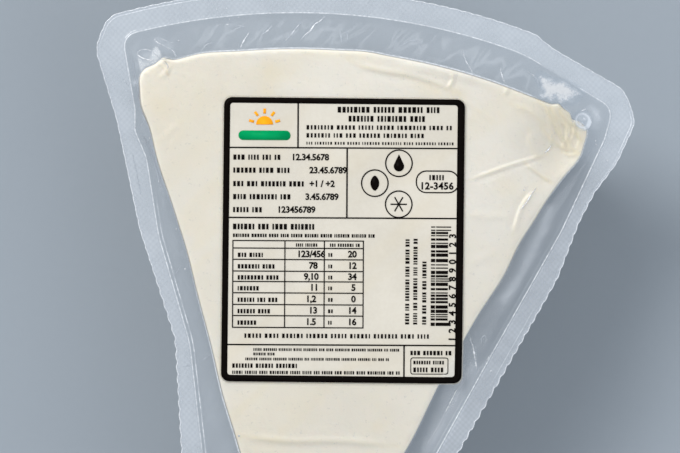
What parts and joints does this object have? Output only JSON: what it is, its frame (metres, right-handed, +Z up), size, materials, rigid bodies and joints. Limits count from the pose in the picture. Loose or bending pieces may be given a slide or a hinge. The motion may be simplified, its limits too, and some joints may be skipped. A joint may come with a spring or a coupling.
{
  "type": "pack of tulum cheese",
  "caption": "Wedge of white cheese in a clear vacuum pack, with a wide heat-sealed film flange and a framed clear label, lying on its flat bottom with the lid side up.",
  "frame": {"origin": "middle of the bottom of the bounding box, on the flat bottom of the wedge", "axes": "+Z up from the flat bottom to the lid side, +Y from the wedge's tip to its round rim, +X to the right seen from above with the rim away"},
  "size_m": [0.137, 0.1818, 0.0506],
  "materials": {
    "cheese": "moist creamy white cheese under tight glossy film",
    "clear_film": "clear film, hazy where it is heat sealed",
    "label_film": "clear film label with dark print"
  },
  "bodies": {
    "root": {"cheese_wedge": "cheese", "film_skirt": "clear_film", "label": "label_film"}
  },
  "joints": []
}
